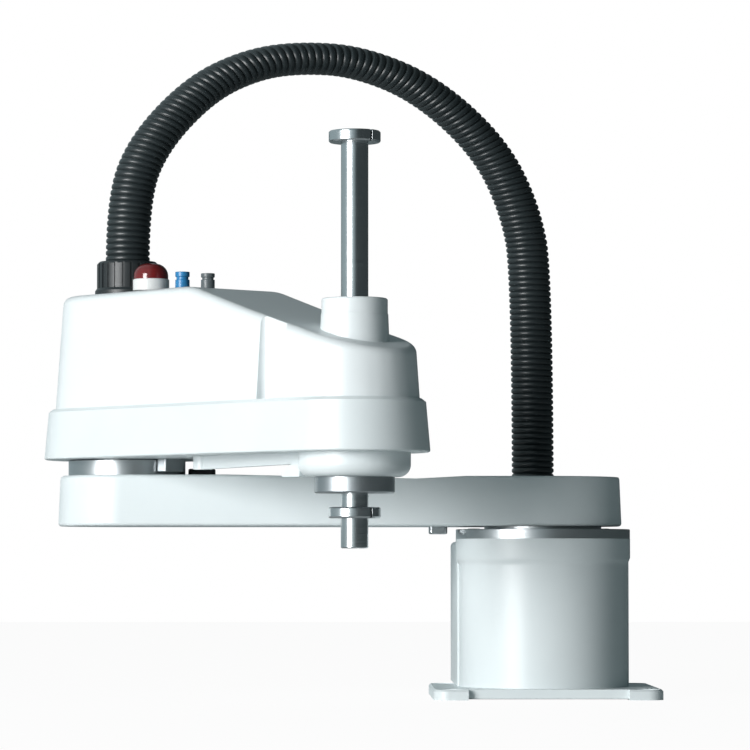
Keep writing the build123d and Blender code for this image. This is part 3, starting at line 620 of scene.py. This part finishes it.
front_hose, front_places, front_length = add_hose(
    "conduit_hose_front", front_path, "conduit_front"
)
rear_hose, rear_places, rear_length = add_hose(
    "conduit_hose_rear", rear_path, "conduit_rear"
)
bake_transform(front_hose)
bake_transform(rear_hose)

# %% [markdown]
# ## Solids that only need a finish
# Most solids of the imported model already have the right shape. Each is copied and its triangles
# are merged. Where a width is listed, its edges are softened by the width that its making leaves:
# about a millimetre on a casting, and a few tenths on a machined piece. The others keep their
# edges, and only the shading of their flats is evened.

# %% Dressed solids
DRESSED = (
    ("base_casting", powder_coat, "base", 0.7),
    ("rear_panel", powder_coat, "base", 0.3),
    ("power_connector", gland_nylon, "base", 0.4),
    ("signal_connector", gland_nylon, "base", 0.4),
    ("user_connector", gland_nylon, "base", 0.3),
    ("base_air_ports", gland_nylon, "base", 0.3),
    ("j1_bearing_ring", turned_steel, "base", 0),
    ("j1_stop_pins", zinc_plate, "base", 0.4),
    ("base_gland", gland_nylon, "base", 0.2),
    ("arm_1_casting", powder_coat, "arm_1", 0),
    ("j1_stop_lug", turned_steel, "arm_1", 0),
    ("j2_stopper", black_rubber, "arm_1", 0),
    ("j2_bearing_ring", turned_steel, "arm_1", 0),
    ("arm_2_casting", powder_coat, "arm_2", 0),
    ("j2_stop_block", turned_steel, "arm_2", 0.5),
    ("under_arm_rail", powder_coat, "arm_2", 0.8),
    ("seal_disc", bare_aluminium, "arm_2", 0.2),
    ("arm_2_cover", cover_abs, "arm_2", 0),
    ("quill_cap", cover_abs, "arm_2", 0.3),
    ("arm_gland", gland_nylon, "arm_2", 0.2),
    ("lamp_gasket", black_rubber, "arm_2", 0.3),
    ("lamp_base", lamp_shell, "arm_2", 0.2),
    ("lamp_dome", red_lens, "arm_2", 0),
    ("blue_air_port", blue_acetal, "arm_2", 0.3),
    ("grey_air_port", grey_acetal, "arm_2", 0.3),
    ("shaft", ground_steel, "quill_shaft", 0),
    ("upper_collar", ground_steel, "quill_shaft", 0.2),
    ("lower_collar", ground_steel, "quill_shaft", 0.2),
)
for node, material, body, width in DRESSED:
    dress(node, material, body, width)

# %% [markdown]
# ## Hidden machinery
# Motors, reducers, belts, pulleys and nuts sit inside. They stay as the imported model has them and
# get the finish of the real pieces, for a reader who takes the robot apart.

# %% Finishes of the hidden pieces
HIDDEN = {
    turned_steel: (
        "j1_output_flange",
        "j1_reducer",
        "j2_output_flange",
        "j2_reducer",
        "spline_nut",
        "screw_nut",
        "spline_nut_bearing",
        "screw_nut_bearing",
    ),
    bare_aluminium: (
        "motor_deck",
        "z_motor_pulley",
        "roll_motor_pulley",
        "screw_pulley",
        "spline_pulley",
    ),
    motor_enamel: ("j1_motor", "j2_motor", "z_motor", "roll_motor"),
    black_rubber: ("z_belt", "roll_belt"),
}
for material, names in HIDDEN.items():
    for name in names:
        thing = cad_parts[name]
        thing.data.materials.clear()
        thing.data.materials.append(material)

# %% [markdown]
# ## The studio
# The photograph shows the robot on pure white, lit from the front left, with its right side and
# its sloping top in shade. One large soft lamp stands at the front left, and a bluish grey world
# gives the shade its cool tone. Mirror rays see the left of that world bright and its right dark,
# and camera rays see white.

# %% Lights, floor and world
ROBOT_MIDDLE = Vector((-0.15, 0, 0.25))


def soft_lamp(name, place, size, power, colour="FFFFFF"):
    """Adds a square lamp that faces the middle of the robot."""
    light = bpy.data.lights.new(name, "AREA")
    light.shape = "SQUARE"
    light.size = size
    light.energy = power
    light.color = linear(colour)[:3]
    lamp = bpy.data.objects.new(name, light)
    lamp.location = place
    away = Vector(place) - ROBOT_MIDDLE
    lamp.rotation_euler = away.to_track_quat("Z", "Y").to_euler()
    bpy.context.scene.collection.objects.link(lamp)
    return lamp


soft_lamp("key_lamp", (-2.35, -2.5, 0.6), 1.5, 128)

world = bpy.data.worlds.new("studio")
bpy.context.scene.world = world
world.use_nodes = True
world.node_tree.nodes.clear()
sky = world.node_tree
rays = add_node(sky, "ShaderNodeLightPath")
shown = add_node(
    sky,
    "ShaderNodeMath",
    {0: rays.outputs["Is Camera Ray"], 1: rays.outputs["Is Transmission Ray"]},
    operation="MAXIMUM",
)
direction = add_node(sky, "ShaderNodeTexCoord")
across = add_node(sky, "ShaderNodeSeparateXYZ", {"Vector": direction.outputs["Generated"]})
wall = add_node(
    sky,
    "ShaderNodeMapRange",
    {
        "Value": across.outputs["X"],
        "From Min": -0.2,
        "From Max": 0.2,
        "To Min": 0.55,
        "To Max": 0.07,
    },
)
shade = add_node(sky, "ShaderNodeBackground", {"Color": linear("D2F8FF"), "Strength": 0.09})
walls = add_node(
    sky, "ShaderNodeBackground", {"Color": linear("E4FAFF"), "Strength": wall.outputs["Result"]}
)
lit = add_node(
    sky,
    "ShaderNodeMixShader",
    {0: rays.outputs["Is Glossy Ray"], 1: shade.outputs[0], 2: walls.outputs[0]},
)
white = add_node(sky, "ShaderNodeBackground", {"Color": (1, 1, 1, 1), "Strength": 1.0})
mixed = add_node(
    sky,
    "ShaderNodeMixShader",
    {0: shown.outputs[0], 1: lit.outputs[0], 2: white.outputs[0]},
)
add_node(world.node_tree, "ShaderNodeOutputWorld", {"Surface": mixed.outputs[0]})

floor_finish, tree, place = start_finish("white_studio_paper")
fibres = add_node(tree, "ShaderNodeTexNoise", {"Vector": place, "Scale": 40, "Detail": 3})
tone = add_node(tree, "ShaderNodeValToRGB", {"Fac": fibres.outputs["Fac"]})
tone.color_ramp.elements[0].color = linear("F4F6F6")
tone.color_ramp.elements[1].color = linear("F8F9F9")
rays = add_node(tree, "ShaderNodeLightPath")
seen = add_node(
    tree,
    "ShaderNodeMath",
    {0: rays.outputs["Is Camera Ray"], 1: 0.96},
    operation="MULTIPLY",
)
paper = add_node(tree, "ShaderNodeBsdfDiffuse", {"Color": tone.outputs["Color"]})
glow = add_node(tree, "ShaderNodeEmission", {"Color": (1, 1, 1, 1), "Strength": 1.0})
paper_mix = add_node(
    tree, "ShaderNodeMixShader", {0: seen.outputs[0], 1: paper.outputs[0], 2: glow.outputs[0]}
)
end_finish(tree, paper_mix.outputs[0])
floor_piece = make_piece(
    "studio_floor",
    [(-4000, -3500, 0), (4000, -3500, 0), (4000, 4000, 0), (-4000, 4000, 0)],
    [(0, 1, 2, 3)],
    floor_finish,
)
